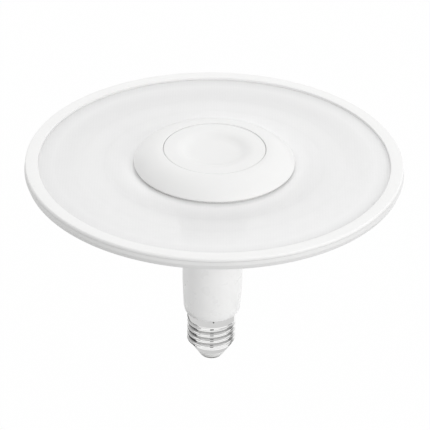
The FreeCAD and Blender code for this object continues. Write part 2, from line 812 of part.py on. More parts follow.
def make_transformer():
    """Ferrite E core round a wound bobbin with two rows of pins."""
    half_width = 6.5
    core_depth = 9.0
    yoke = 1.5
    window = (2.2, 4.8)        # from the centre leg to an outer leg
    base_thickness = 1.5
    base_overhang = 2.5        # of the bobbin past the core, where the pins are
    winding_r = 3.6
    winding_overhang = 1.2
    heights = [z for x, z in pins["transformer"]]
    low_z = min(heights) + base_overhang - bobbin_past_pins
    high_z = max(heights) - base_overhang + bobbin_past_pins
    core_y = board_front_y + base_thickness
    base_low_z = low_z - base_overhang
    base_high_z = high_z + base_overhang
    bobbin = box((-half_width, board_front_y, base_low_z), (half_width, core_y, base_high_z))
    core = box((-half_width, core_y, low_z), (half_width, core_y + core_depth, high_z))
    for side in (-1, 1):
        xs = sorted(side * x for x in window)
        core = core.cut(box((xs[0], core_y, low_z), (xs[1], core_y + core_depth - yoke, high_z)))
    foot = V(0, core_y + winding_r + slide_gap, low_z - winding_overhang)
    winding = Part.makeCylinder(winding_r, high_z - low_z + 2 * winding_overhang, foot)
    return core.fuse([bobbin, winding] + front_pins("transformer", 1)).removeSplitter()


input_can_z = tail_bottom_z + input_can_rise
output_can_z = pins["output_capacitor"][0][1] + output_lead_length


def can_capacitor(name, length, seal_z):
    """Aluminium can lying along the neck, with a rolled groove by its seal and bent-down leads."""
    edge = 0.4
    groove_depth = 0.4
    groove_low = 1.4
    groove_width = 1.0
    into_seal = 0.5
    profile = rounded_outline([
        (0, 0, 0),
        (can_r, 0, edge),
        (can_r, groove_low, 0),
        (can_r - groove_depth, groove_low + groove_width / 2, 0),
        (can_r, groove_low + groove_width, 0),
        (can_r, length, edge),
        (0, length, 0),
    ])
    can = turned(profile)
    axis_y = board_front_y + fit_gap + can_r
    if pins[name][0][1] > seal_z:
        can.rotate(V(0, 0, 0), V(1, 0, 0), 180)
        seal_z += length
    can.translate(V(0, axis_y, seal_z))
    leads = []
    for x, z in pins[name]:
        ends = sorted((z, seal_z + math.copysign(into_seal, seal_z - z)))
        leads.append(Part.makeCylinder(pin_r, ends[1] - ends[0], V(x, axis_y, ends[0])))
        leads.append(Part.makeSphere(pin_r, V(x, axis_y, z)))
        leads.append(pin((x, z), axis_y, board_back_y - pin_tail))
    return can.fuse(leads)


def make_filter_choke():
    """Drum core wound with wire, standing on the board."""
    flange_r = 4.0
    flange = 1.2
    winding_r = 3.3
    height = 8.5
    edge = 0.2
    (x, low_z), (x, high_z) = pins["filter_choke"]
    profile = rounded_outline([
        (0, 0, 0),
        (flange_r, 0, edge),
        (flange_r, flange, edge),
        (winding_r, flange, 0),
        (winding_r, height - flange, 0),
        (flange_r, height - flange, edge),
        (flange_r, height, edge),
        (0, height, 0),
    ])
    drum = turned(profile)
    drum.rotate(V(0, 0, 0), V(1, 0, 0), -90)
    drum.translate(V(x, board_front_y, (low_z + high_z) / 2))
    return drum.fuse(front_pins("filter_choke", 1))


def make_film_capacitor():
    """Dipped block on edge, its pins near its ends."""
    half_width = 2.5
    depth = 9.0
    overhang = 2.0
    edge = 0.6
    (x, low), (x, high) = pins["film_capacitor"]
    far_y = board_front_y + depth
    body = box((x - half_width, board_front_y, low - overhang), (x + half_width, far_y, high + overhang))
    body = body.makeFillet(edge, [line for line in body.Edges if line.BoundBox.YLength > depth / 2])
    return body.fuse(front_pins("film_capacitor", 1))


def make_fuse_resistor():
    """Axial part across the tail's rear face, with both leads bent into the board."""
    body_length = 7.0
    body_r = 1.5
    band_length = 1.5
    band_r = 1.75
    stand_off = 0.45
    (left, z), (right, z) = pins["fuse_resistor"]
    axis_y = board_back_y - band_r - stand_off
    along = V(1, 0, 0)
    low = (left + right - body_length) / 2
    body = Part.makeCylinder(body_r, body_length, V(low, axis_y, z), along)
    for start in (low, low + body_length - band_length):
        body = body.fuse(Part.makeCylinder(band_r, band_length, V(start, axis_y, z), along))
    wire = Part.makeCylinder(pin_r, right - left, V(left, axis_y, z), along)
    knuckles = [Part.makeSphere(pin_r, V(x, axis_y, z)) for x in (left, right)]
    return body.fuse([wire] + knuckles + back_pins("fuse_resistor", board_back_y - axis_y))


def make_rectifier_bridge():
    """Four-legged block with chamfered corners on the rear face."""
    half_width = 4.2
    thickness = 2.8
    stand_off = 0.4
    overhang = 1.0
    edge = 0.4
    heights = [z for x, z in pins["rectifier_bridge"]]
    low_z = min(heights) - overhang
    high_z = max(heights) + overhang
    near_y = board_back_y - stand_off
    body = box((-half_width, near_y - thickness, low_z), (half_width, near_y, high_z))
    body = body.makeChamfer(edge, [line for line in body.Edges if line.BoundBox.YLength < 0.01])
    return body.fuse(back_pins("rectifier_bridge", 1))


def make_driver_chip():
    """Flat control chip with four gull-wing legs a side, soldered to the rear face."""
    low_z = tail_bottom_z + chip_rise
    length = 5.0
    half_width = 2.0
    thickness = 1.55
    stand_off = 0.15
    leg_pitch = 1.27
    leg_width = 0.4
    leg = 0.2                  # thickness of the leg's metal
    knee = 0.5                 # how far the leg runs out before it turns down
    foot = 1.1
    knee_y = board_back_y - 1.0
    near_y = board_back_y - stand_off
    body = box((-half_width, near_y - thickness, low_z), (half_width, near_y, low_z + length))
    spans = [
        (half_width - leg, half_width + knee, knee_y, knee_y + leg),
        (half_width + knee - leg, half_width + knee, knee_y, board_back_y),
        (half_width + knee - leg, half_width + foot, board_back_y - leg, board_back_y),
    ]
    for number in range(4):
        z = low_z + (length - 3 * leg_pitch) / 2 + leg_pitch * number
        for side in (-1, 1):
            for near, far, low_y, high_y in spans:
                xs = sorted((side * near, side * far))
                body = body.fuse(box((xs[0], low_y, z - leg_width / 2), (xs[1], high_y, z + leg_width / 2)))
    return body.removeSplitter()


# Leads: straight runs joined by tangent arcs

def bent_lead(places, bend_r):
    """Round lead along a route, each corner rounded with a tangent arc."""
    spots = [V(*place) for place in places]
    edges = []
    start = spots[0]
    for before, here, after in zip(spots, spots[1:], spots[2:]):
        to_before = (before - here).normalize()
        to_after = (after - here).normalize()
        half = to_before.getAngle(to_after) / 2
        reach = bend_r / math.tan(half)
        bisector = (to_before + to_after).normalize()
        middle = here + bisector * (bend_r / math.sin(half) - bend_r)
        edges.append(Part.makeLine(start, here + to_before * reach))
        edges.append(Part.Arc(here + to_before * reach, middle, here + to_after * reach).toShape())
        start = here + to_after * reach
    edges.append(Part.makeLine(start, spots[-1]))
    path = Part.Wire(edges)
    first = spots[1] - spots[0]
    ring = Part.Wire([Part.Circle(spots[0], first, lead_r).toShape()])
    return path.makePipeShell([ring], True, False)


def make_live_lead():
    x = -supply_lead_x
    turn_z = (rivet_top_z + tail_bottom_z) / 2
    route = [(0, 0, rivet_top_z), (0, 0, turn_z), (x, board_y, turn_z), (x, board_y, tail_bottom_z)]
    return bent_lead(route, 1.0)


def make_neutral_lead():
    x = supply_lead_x
    low_z = insulator_top_z + lead_r + 1.3
    wall_r = shell_bore_r(math.atan2(board_y, spigot_r), low_z) - slide_gap
    end_x = math.sqrt(wall_r ** 2 - (abs(board_y) + lead_r) ** 2)
    return bent_lead([(end_x, board_y, low_z), (x, board_y, low_z), (x, board_y, tail_bottom_z)], 1.6)


def make_led_lead(side):
    x = side * led_lead_x
    high_z = led_lead_height()
    end_x = side * (math.sqrt(strip_bore_r ** 2 - (abs(board_y) + lead_r) ** 2) - fit_gap)
    return bent_lead([(x, board_y, board_top_z), (x, board_y, high_z), (end_x, board_y, high_z)], 2.5)


nodes = {
    "screw_shell": make_screw_shell(),
    "centre_contact": make_centre_contact(),
    "base_insulator": make_base_insulator(),
    "housing": make_housing(),
    "light_guide_plate": make_light_guide_plate(),
    "edge_reflector_band": make_edge_reflector_band(),
    "rear_frame": make_rear_frame(),
    "front_bezel": make_front_bezel(),
    "cover_gasket": make_cover_gasket(),
    "hub_cover": make_hub_cover(),
    "centre_cap": make_centre_cap(),
    "heat_sink": make_heat_sink(),
    "led_strip": make_led_strip(),
    "led_chips": make_led_chips(),
    "hub_screws": make_hub_screws(),
    "driver_board": make_driver_board(),
    "transformer": make_transformer(),
    "input_capacitor": can_capacitor("input_capacitor", input_can_length, input_can_z),
    "output_capacitor": can_capacitor("output_capacitor", output_can_length, output_can_z),
    "filter_choke": make_filter_choke(),
    "film_capacitor": make_film_capacitor(),
    "fuse_resistor": make_fuse_resistor(),
    "rectifier_bridge": make_rectifier_bridge(),
    "driver_chip": make_driver_chip(),
    "live_lead": make_live_lead(),
    "neutral_lead": make_neutral_lead(),
    "led_lead_positive": make_led_lead(1),
    "led_lead_negative": make_led_lead(-1),
}

for name, shape in nodes.items():
    shape.exportStep("parts/" + name + ".step")
    print(name, "valid", shape.isValid(), "solids", len(shape.Solids), "volume", round(shape.Volume, 1))
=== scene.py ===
# %% [markdown]
# # LED disc lamp on a screw cap
#
# The lamp is a flat ring of light: LEDs round a heat sink shine outwards into the edge of an
# acrylic plate, and white dots printed on the plate turn that light up and down. A trumpet-shaped
# housing holds the plate and hides the driver, and a nickel screw cap ends it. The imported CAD
# model is the frame: it says where everything is. This script gives it smooth surfaces, finishes,
# light and a camera.

import json

import bmesh
import bpy
import numpy as np
from mathutils import Matrix, Vector


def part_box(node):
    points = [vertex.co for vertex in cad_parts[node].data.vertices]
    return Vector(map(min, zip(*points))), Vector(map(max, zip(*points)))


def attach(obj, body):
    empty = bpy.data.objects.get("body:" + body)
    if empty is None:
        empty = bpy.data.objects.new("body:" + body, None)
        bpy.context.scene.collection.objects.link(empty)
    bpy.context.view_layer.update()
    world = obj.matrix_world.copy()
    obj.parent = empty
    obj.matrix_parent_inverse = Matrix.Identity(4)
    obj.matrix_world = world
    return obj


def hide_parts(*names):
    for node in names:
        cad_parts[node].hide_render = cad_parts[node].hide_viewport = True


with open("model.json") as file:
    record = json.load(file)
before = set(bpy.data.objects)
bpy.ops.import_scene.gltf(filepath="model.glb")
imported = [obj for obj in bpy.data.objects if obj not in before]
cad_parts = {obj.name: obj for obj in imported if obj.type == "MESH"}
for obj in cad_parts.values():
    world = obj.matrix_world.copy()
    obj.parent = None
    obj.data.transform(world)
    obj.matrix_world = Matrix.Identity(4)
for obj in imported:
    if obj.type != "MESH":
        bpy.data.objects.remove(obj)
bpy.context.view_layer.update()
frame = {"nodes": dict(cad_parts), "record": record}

# %% [markdown]
# ## Camera
#
# The photograph looks down on the lamp at about 30 degrees from far away, so the disc is a clean
# ellipse and the neck hardly tapers. A camera could be placed by eye, but then the ellipse's
# shape, the cap's place and the tilt of the whole picture would each need guessing again after
# every change. Here the camera's axes are worked out from a few numbers instead: its elevation,
# distance, roll and focal length, and where the disc's centre falls in the picture.

# %% Camera
MM = 0.001
PICTURE = 430                       # pixels along a side
ELEVATION = np.radians(29.62)
ROLL = np.radians(0.95)             # the picture is turned clockwise by this
DISTANCE = 2.0
FOCAL = 3798                        # focal length in pixels
DISC_IN_PICTURE = (214.35, 163.6)   # pixels from the left and from the top
SENSOR = 36                         # millimetres

plate_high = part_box("light_guide_plate")[1]
disc_centre = np.array([0, 0, plate_high[2]])


def unit(vector):
    """The vector divided by its length."""
    return vector / np.linalg.norm(vector)


level_right = np.array([1.0, 0, 0])
level_up = np.array([0, np.sin(ELEVATION), np.cos(ELEVATION)])
to_camera = np.array([0, -np.cos(ELEVATION), np.sin(ELEVATION)])
right = np.cos(ROLL) * level_right + np.sin(ROLL) * level_up
up = np.cos(ROLL) * level_up - np.sin(ROLL) * level_right
across, down = (np.array(DISC_IN_PICTURE) - PICTURE / 2) / FOCAL
back = unit(to_camera + across * right - down * up)
right = unit(right - back * (right @ back))
up = np.cross(back, right)

camera_data = bpy.data.cameras.new("camera")
camera_data.sensor_width = SENSOR
camera_data.lens = SENSOR * FOCAL / PICTURE
camera_data.clip_end = 20
camera = bpy.data.objects.new("camera", camera_data)
bpy.context.scene.collection.objects.link(camera)
axes = Matrix(np.column_stack([right, up, back]).tolist())
camera.matrix_world = Matrix.Translation(Vector(disc_centre + DISTANCE * to_camera)) @ axes.to_4x4()
bpy.context.scene.camera = camera
camera_place = [round(x, 3) for x in camera.matrix_world.translation]
print("camera at", camera_place, "lens", round(camera_data.lens, 1))

# %% [markdown]
# ## Studio
#
# The lamp is photographed in a white tent: everything round it is white, and the picture's ground
# is pure white. The world could simply be bright, but then the lamp's white plastic would lose
# all its shading. So the white is shown only to rays that come straight from the camera, or that
# clear plastic or a shiny surface sends on. A shiny surface gets a little less than full white,
# because cloth is never as bright as the burnt-out ground. The plastic itself is lit by soft lamps
# at a plain level and a dimmer world, which keeps every rim and groove readable.

# %% World and floor
AMBIENT = 0.72                      # the world's strength for matt surfaces
CLOTH_IN_MIRROR = 0.9               # how far a mirror image of the tent goes from there to white
PAPER_SHARE = 0.99                  # the rest of the ground keeps a trace of the lamp's shadow
HALF_FLOOR = 3.0


def white_where_seen(tree, mirrored):
    """Factor of white: 1 for the camera's rays and through clear plastic, mirrored for a mirror's."""
    path = tree.nodes.new("ShaderNodeLightPath")
    in_mirror = tree.nodes.new("ShaderNodeMath")
    in_mirror.operation = "MULTIPLY"
    in_mirror.inputs[1].default_value = mirrored
    tree.links.new(path.outputs["Is Glossy Ray"], in_mirror.inputs[0])
    total = path.outputs["Is Camera Ray"]
    for ray in (path.outputs["Is Transmission Ray"], in_mirror.outputs[0]):
        larger = tree.nodes.new("ShaderNodeMath")
        larger.operation = "MAXIMUM"
        tree.links.new(total, larger.inputs[0])
        tree.links.new(ray, larger.inputs[1])
        total = larger.outputs[0]
    return total


world = bpy.data.worlds.new("white_tent")
world.use_nodes = True
bpy.context.scene.world = world
tree = world.node_tree
tent = tree.nodes["Background"]
tent.inputs["Color"].default_value = (1, 1, 1, 1)
level = tree.nodes.new("ShaderNodeMapRange")
level.inputs["To Min"].default_value = AMBIENT
level.inputs["To Max"].default_value = 1.0
tree.links.new(white_where_seen(tree, CLOTH_IN_MIRROR), level.inputs["Value"])
tree.links.new(level.outputs["Result"], tent.inputs["Strength"])

floor_corners = HALF_FLOOR * np.array([(-1, -1, 0), (1, -1, 0), (1, 1, 0), (-1, 1, 0)])
floor_mesh = bpy.data.meshes.new("floor")
floor_mesh.from_pydata(floor_corners.tolist(), [], [(0, 1, 2, 3)])
floor = bpy.data.objects.new("floor", floor_mesh)
bpy.context.scene.collection.objects.link(floor)

paper = bpy.data.materials.new("white_paper")
paper.use_nodes = True
tree = paper.node_tree
sheet = tree.nodes["Principled BSDF"]
sheet.inputs["Base Color"].default_value = (0.66, 0.66, 0.66, 1)
sheet.inputs["Roughness"].default_value = 0.9
sheet.inputs["Specular IOR Level"].default_value = 0.1
glow = tree.nodes.new("ShaderNodeEmission")
glow.inputs["Strength"].default_value = 1.0
share = tree.nodes.new("ShaderNodeMath")
share.operation = "MULTIPLY"
share.inputs[1].default_value = PAPER_SHARE
tree.links.new(white_where_seen(tree, 1.0), share.inputs[0])
blend = tree.nodes.new("ShaderNodeMixShader")
tree.links.new(share.outputs[0], blend.inputs["Fac"])
tree.links.new(sheet.outputs["BSDF"], blend.inputs[1])
tree.links.new(glow.outputs["Emission"], blend.inputs[2])
tree.links.new(blend.outputs["Shader"], tree.nodes["Material Output"].inputs["Surface"])
floor_mesh.materials.append(paper)
print("world and floor ready")

# %% Lamps
HEART = (0, 0, 0.1)
BOX_SIDE = 1.2


def softbox(name, place, power):
    """Square area lamp turned to the middle of the object, with its power in watts."""
    data = bpy.data.lights.new(name, "AREA")
    data.shape = "SQUARE"
    data.size = BOX_SIDE
    data.energy = power
    lamp = bpy.data.objects.new(name, data)
    lamp.location = place
    lamp.rotation_euler = (Vector(HEART) - Vector(place)).to_track_quat("-Z", "Y").to_euler()
    bpy.context.scene.collection.objects.link(lamp)
    lamp.visible_glossy = False
    lamp.visible_camera = False


softbox("front_right", (1.45, -1.25, 0.7), 17)
softbox("back_high", (0.2, 1.5, 1.2), 7)
softbox("back_left", (-1.2, 1.2, 0.6), 3)
softbox("overhead", (0.0, 0.1, 1.9), 3)
softbox("left_low", (-1.7, -0.5, 0.3), 2.5)
print("lamps", len(bpy.data.lights))

# %% [markdown]
# ### Cards
#
# Bright nickel shows nothing but its surroundings, so in an all-white tent the cap would vanish.
# Photographers lay and stand black and grey cards beside such metal to draw its shape. The places
# of these cards come from the photograph: each mark in its thread was traced back through the
# thread's slope to where that spot looks. Black ground lies close to the cap on the left and
# behind it, and less dark ground on the right. These are a painted shadow: the lamp's own shadow on
# the floor, as the nickel mirrors it. A black strip stands far out on the right. A dark strip
# stands in front, where the camera is. Grey ground and two grey walls surround all this. They
# leave a gap behind on the right, where the tent's white wipes out the cap's edge. Two narrow
# rings on the ground under the cap are painted shadow of the lamp right above them. They darken
# the insulator's foot and the contact's edge.
#
# Each card is a strip bent round the lamp's axis, flat on the ground or upright. Only reflections
# see the cards, so they neither shade the plastic nor appear in the picture.

# %% Cards
SHEET = 0.0001                      # the cards' distance from each other on the floor
CARD_STEPS = 36


def card(name, from_azimuth, to_azimuth, rows, shade):
    """Sheet round the lamp's axis between two azimuths in degrees.

    Its rows of points lie at the given radii and heights in metres: x = r cos t, y = r sin t.
    """
    turn = np.radians(np.linspace(from_azimuth, to_azimuth, CARD_STEPS + 1))
    points = [(r * np.cos(t), r * np.sin(t), z) for r, z in rows for t in turn]
    count = len(turn)
    faces = [(i, i + 1, count + i + 1, count + i) for i in range(count - 1)]
    mesh = bpy.data.meshes.new(name)
    mesh.from_pydata(points, [], faces)
    cloth = bpy.data.materials.new(name)
    cloth.use_nodes = True
    tree = cloth.node_tree
    tree.nodes.remove(tree.nodes["Principled BSDF"])
    glow = tree.nodes.new("ShaderNodeEmission")
    glow.inputs["Color"].default_value = (shade, shade, shade, 1)
    tree.links.new(glow.outputs["Emission"], tree.nodes["Material Output"].inputs["Surface"])
    mesh.materials.append(cloth)
    made = bpy.data.objects.new(name, mesh)
    bpy.context.scene.collection.objects.link(made)
    made.visible_camera = False
    made.visible_diffuse = False
    made.visible_transmission = False
    made.visible_shadow = False


def ground_card(name, from_azimuth, to_azimuth, inner, outer, sheets, shade):
    """Card on the ground between two radii, on top of the sheets under it."""
    card(name, from_azimuth, to_azimuth, [(inner, sheets * SHEET), (outer, sheets * SHEET)], shade)


def standing_card(name, from_azimuth, to_azimuth, distance, low, high, shade):
    """Upright card at a distance from the lamp's axis."""
    card(name, from_azimuth, to_azimuth, [(distance, low), (distance, high)], shade)


ground_card("card_ground", 80, 387, 0.04, 0.6, 2, 0.66)
# painted shadow: the lamp's own shadow on the floor next to the cap, seen only in reflections
ground_card("painted_shadow_left", 98, 204, 0.0125, 0.0455, 4, 0.0)
ground_card("painted_shadow_right", -12, 16, 0.0125, 0.041, 4, 0.3)
standing_card("card_front", -99, -83, 0.5, 0.05, 0.37, 0.06)
standing_card("wall_left", 128, 216, 0.6, 0.001, 0.4, 0.5)
standing_card("wall_right", -24, 28, 0.6, 0.001, 0.4, 0.6)
standing_card("wall_right_dark", 2, 18, 0.59, 0.001, 0.25, 0.0)
# painted shadow: the lamp's own shadow on the floor right under its foot, seen only in reflections
ground_card("painted_shadow_foot", -180, 180, 0.0078, 0.0125, 3, 0.62)
ground_card("painted_shadow_contact", -180, 180, 0.0056, 0.0078, 3, 0.0)
print("cards ready")

# %% [markdown]
# ## Helpers for smooth turned parts
#
# Almost every part of this lamp is turned: a closed outline in the plane of radius and height,
# carried once round the axis. A screw modifier could do it, but then the outline would have to
# be drawn first as a mesh. With numpy the outline is one array and the turned surface is one
# formula for all its points at once.

# %% Outlines


def arc_through(start, middle, end, steps=12):
    """Points on the circle through three points, from the first to the last.

    The centre is where the perpendicular bisectors of the two chords meet.
    """
    a, b, c = (np.array(point, float) for point in (start, middle, end))
    sides = np.array([b - a, c - a])
    centre = a + np.linalg.solve(sides, (sides ** 2).sum(axis=1) / 2)
    turns = [np.arctan2(*(point - centre)[::-1]) for point in (a, b, c)]
    turns = np.unwrap(turns)
    angles = np.linspace(turns[0], turns[2], steps + 1)
    radius = np.linalg.norm(a - centre)
    return centre + radius * np.column_stack([np.cos(angles), np.sin(angles)])


def rounded(corners, steps=8):
    """Closed outline with its corners rounded. Each corner is (radius, height, rounding).

    At a corner with half angle h, the arc touches both sides at rounding / tan h from the corner,
    and its middle lies rounding / sin h - rounding from the corner on the bisector.
    """
    corners = np.array(corners, float)
    spots = corners[:, :2]
    parts = []
    befores, afters = np.roll(spots, 1, 0), np.roll(spots, -1, 0)
    for spot, before, after, size in zip(spots, befores, afters, corners[:, 2]):
        if size == 0:
            parts.append(spot[None])
            continue
        to_before, to_after = unit(before - spot), unit(after - spot)
        half_angle = np.arccos(to_before @ to_after) / 2
        reach = size / np.tan(half_angle)
        middle = spot + unit(to_before + to_after) * (size / np.sin(half_angle) - size)
        parts.append(arc_through(spot + to_before * reach, middle, spot + to_after * reach, steps))
    return np.concatenate(parts)


def ellipse(centre, half_width, half_height, start, end, steps=24):
    """Points centre + (half_width cos a, half_height sin a), for a from start to end in degrees."""
    angles = np.radians(np.linspace(start, end, steps + 1))
    offsets = np.column_stack([half_width * np.cos(angles), half_height * np.sin(angles)])
    return np.array(centre) + offsets


def quarter_arc(centre, size, start, steps=6, turn=-90):
    """Quarter circle about a centre, from a start in degrees, clockwise unless the turn is 90."""
    return ellipse(centre, size, size, start, start + turn, steps)


# %% From grid to mesh


def mesh_from_grid(name, points, crease=30):
    """Closed mesh from a grid of points in millimetres that joins up in both directions.

    Square i, j has the corners (i, j), (i + 1, j), (i + 1, j + 1) and (i, j + 1), counted round.
    Points that fall together, as on the axis, are merged.
    """
    rows, columns = points.shape[:2]
    number = np.arange(rows * columns).reshape(rows, columns)
    below = np.roll(number, -1, 0)
    faces = np.stack([number, below, np.roll(below, -1, 1), np.roll(number, -1, 1)], -1).reshape(-1, 4)
    mesh = bpy.data.meshes.new(name)
    mesh.from_pydata((points.reshape(-1, 3) * MM).tolist(), [], faces.tolist())
    cleaner = bmesh.new()
    cleaner.from_mesh(mesh)
    bmesh.ops.remove_doubles(cleaner, verts=cleaner.verts, dist=1e-7)
    bmesh.ops.recalc_face_normals(cleaner, faces=cleaner.faces)
    cleaner.to_mesh(mesh)
    cleaner.free()
    mesh.shade_smooth()
    mesh.set_sharp_from_angle(angle=np.radians(crease))
    return mesh


def turned(name, outline, columns=288, crease=30):
    """Surface of revolution: x = r cos t, y = r sin t, z = height, for every t round the axis."""
    turn = np.linspace(0, 2 * np.pi, columns, endpoint=False)[None, :]
    radius, height = outline[:, 0, None], outline[:, 1, None]
    points = np.stack([radius * np.cos(turn), radius * np.sin(turn), height + 0 * turn], -1)
    return mesh_from_grid(name, points, crease)


def piece(mesh, finish, slot, *nodes):
    """Puts a mesh into the scene on the root body, in place of the CAD nodes it stands for."""
    made = bpy.data.objects.new(mesh.name, mesh)
    bpy.context.scene.collection.objects.link(made)
    mesh.materials.append(finish)
    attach(made, "root")
    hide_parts(*nodes)
    print(mesh.name, len(mesh.polygons), "faces")


# %% [markdown]
# ## Finishes
#
# A finish could be one colour and one roughness, but a real moulded surface is never that even:
# it has a faint orange-peel texture, patches that are a little duller from handling, and a trace
# of colour variation. Each finish below starts from a Principled shader whose constants sit on
# its own sockets, and adds that detail with noise read in Object coordinates, so it stays put
# on the part.

# %% Finish helpers


def new_finish(name, roughness, **sockets):
    """Material with a Principled shader, constants set on its sockets."""
    finish = bpy.data.materials.new(name)
    finish.use_nodes = True
    shader = finish.node_tree.nodes["Principled BSDF"]
    shader.inputs["Roughness"].default_value = roughness
    for socket, value in sockets.items():
        shader.inputs[socket.replace("_", " ")].default_value = value
    return finish


def noise(finish, scale, detail=3.0, stretch=(1, 1, 1)):
    """Noise read in Object coordinates. scale counts its waves in a metre."""
    nodes, links = finish.node_tree.nodes, finish.node_tree.links
    place = nodes.new("ShaderNodeTexCoord")
    mapping = nodes.new("ShaderNodeMapping")
    mapping.inputs["Scale"].default_value = stretch
    texture = nodes.new("ShaderNodeTexNoise")
    texture.inputs["Scale"].default_value = scale
    texture.inputs["Detail"].default_value = detail
    links.new(place.outputs["Object"], mapping.inputs["Vector"])
    links.new(mapping.outputs["Vector"], texture.inputs["Vector"])
    return texture.outputs["Fac"]


def tint(finish, value, first, second, low=0.35, high=0.65):
    """Base colour from the first to the second as a texture value goes from low to high."""
    nodes, links = finish.node_tree.nodes, finish.node_tree.links
    ramp = nodes.new("ShaderNodeValToRGB")
    ramp.color_ramp.elements[0].position = low
    ramp.color_ramp.elements[1].position = high
    ramp.color_ramp.elements[0].color = (*first, 1)
    ramp.color_ramp.elements[1].color = (*second, 1)
    links.new(value, ramp.inputs["Fac"])
    links.new(ramp.outputs["Color"], nodes["Principled BSDF"].inputs["Base Color"])


def dull(finish, value, low, high):
    """Roughness from low to high as a texture value goes from 0.3 to 0.7."""
    nodes, links = finish.node_tree.nodes, finish.node_tree.links
    span = nodes.new("ShaderNodeMapRange")
    span.inputs["From Min"].default_value = 0.3
    span.inputs["From Max"].default_value = 0.7
    span.inputs["To Min"].default_value = low
    span.inputs["To Max"].default_value = high
    links.new(value, span.inputs["Value"])
    links.new(span.outputs["Result"], nodes["Principled BSDF"].inputs["Roughness"])


def darken(finish, factor):
    """Multiplies the base colour by a value from another node."""
    nodes, links = finish.node_tree.nodes, finish.node_tree.links
    colour = nodes["Principled BSDF"].inputs["Base Color"]
    product = nodes.new("ShaderNodeVectorMath")
    product.operation = "SCALE"
    links.new(colour.links[0].from_socket, product.inputs[0])
    links.new(factor, product.inputs["Scale"])
    links.new(product.outputs["Vector"], colour)


def relief(finish, value, depth):
    """Bump of a depth in metres from a texture value."""
    nodes, links = finish.node_tree.nodes, finish.node_tree.links
    bump = nodes.new("ShaderNodeBump")
    bump.inputs["Strength"].default_value = 1.0
    bump.inputs["Distance"].default_value = depth
    links.new(value, bump.inputs["Height"])
    links.new(bump.outputs["Normal"], nodes["Principled BSDF"].inputs["Normal"])


# %% White mouldings
PLASTIC_IOR = 1.49
MOTTLING, HANDLING, ORANGE_PEEL = 60, 140, 700      # waves in a metre
PEEL_DEPTH = 1.5e-6                 # metres


def moulded_white(name, shade, roughness):
    """White moulded plastic: faint mottling, handling marks and orange peel."""
    finish = new_finish(name, roughness, IOR=PLASTIC_IOR)
    a_little_darker = tuple(0.992 * x for x in shade)
    tint(finish, noise(finish, MOTTLING), a_little_darker, shade)
    dull(finish, noise(finish, HANDLING, 4), roughness - 0.02, roughness + 0.03)
    relief(finish, noise(finish, ORANGE_PEEL, 2), PEEL_DEPTH)
    return finish


def step_up(finish, coordinate, start, end, low, high=1.0):
    """Value that goes from low to high as an Object coordinate goes from start to end.

    The coordinate is "z" or "radius", the distance from the lamp's axis, in millimetres.
    """
    nodes, links = finish.node_tree.nodes, finish.node_tree.links
    place = nodes.new("ShaderNodeTexCoord")
    span = nodes.new("ShaderNodeMapRange")
    span.inputs["From Min"].default_value = start * MM
    span.inputs["From Max"].default_value = end * MM
    span.inputs["To Min"].default_value = low
    span.inputs["To Max"].default_value = high
    if coordinate == "z":
        split = nodes.new("ShaderNodeSeparateXYZ")
        links.new(place.outputs["Object"], split.inputs["Vector"])
        links.new(split.outputs["Z"], span.inputs["Value"])
    else:
        flat = nodes.new("ShaderNodeVectorMath")
        flat.operation = "MULTIPLY"
        flat.inputs[1].default_value = (1, 1, 0)
        length = nodes.new("ShaderNodeVectorMath")
        length.operation = "LENGTH"
        links.new(place.outputs["Object"], flat.inputs[0])
        links.new(flat.outputs["Vector"], length.inputs[0])
        links.new(length.outputs["Value"], span.inputs["Value"])
    return span.outputs["Result"]


def larger_of(finish, first, second):
    """The larger of two values."""
    larger = finish.node_tree.nodes.new("ShaderNodeMath")
    larger.operation = "MAXIMUM"
    finish.node_tree.links.new(first, larger.inputs[0])
    finish.node_tree.links.new(second, larger.inputs[1])
    return larger.outputs[0]


print("finish helpers ready")

# %% [markdown]
# ## Rim
#
# Two rings hold the plate's edge. The rear frame carries it and has the slanted flank that looks
# grey from the front. The bezel lies on top with its rounded edge, and its skirt snaps into the
# frame. The fine gap between them is real geometry, because a drawn line would vanish from the
# side. Both are one white, but the flank faces the darker lower half of the tent, so the finish
# gets a little darker downwards instead of a lamp being moved for it.

# %% Bezel and rear frame
PLATE_TOP = 118.0
PLATE_BOTTOM = 115.0
PLATE_R = 96.4
BEZEL_BORE = 92.9
FRAME_BORE = 92.2
RIM_R = 100.0
BEZEL_R = RIM_R - 0.4
BEZEL_TOP = PLATE_TOP + 1.3
FRAME_TOP = PLATE_TOP - 0.7
FRAME_BASE = PLATE_BOTTOM - 2.3
PARTING_GAP = 0.1
SKIRT_R = PLATE_R + 1.55
SKIRT_END = PLATE_TOP - 2.4
SKIRT_WALL = 1.0
SEAT_GAP = 0.05                     # between the bezel's skirt and the frame
RIM_COLUMNS = 384

white_rim = moulded_white("white_rim", (0.855, 0.855, 0.85), 0.3)
darken(white_rim, step_up(white_rim, "z", FRAME_TOP - PARTING_GAP, PLATE_TOP + 0.8, 0.86))

bezel_outline = rounded([
    (BEZEL_BORE, PLATE_TOP, 0),
    (SKIRT_R - SKIRT_WALL, PLATE_TOP, 0),
    (SKIRT_R - SKIRT_WALL, SKIRT_END, 0.2),
    (SKIRT_R, SKIRT_END, 0.2),
    (SKIRT_R, FRAME_TOP + PARTING_GAP, 0),
    (BEZEL_R, FRAME_TOP + PARTING_GAP, 0.15),
    (BEZEL_R, BEZEL_TOP, 0.8),
    (BEZEL_BORE, BEZEL_TOP, 0.35),
])
piece(turned("bezel_ring", bezel_outline, RIM_COLUMNS), white_rim, "white_rim", "front_bezel")

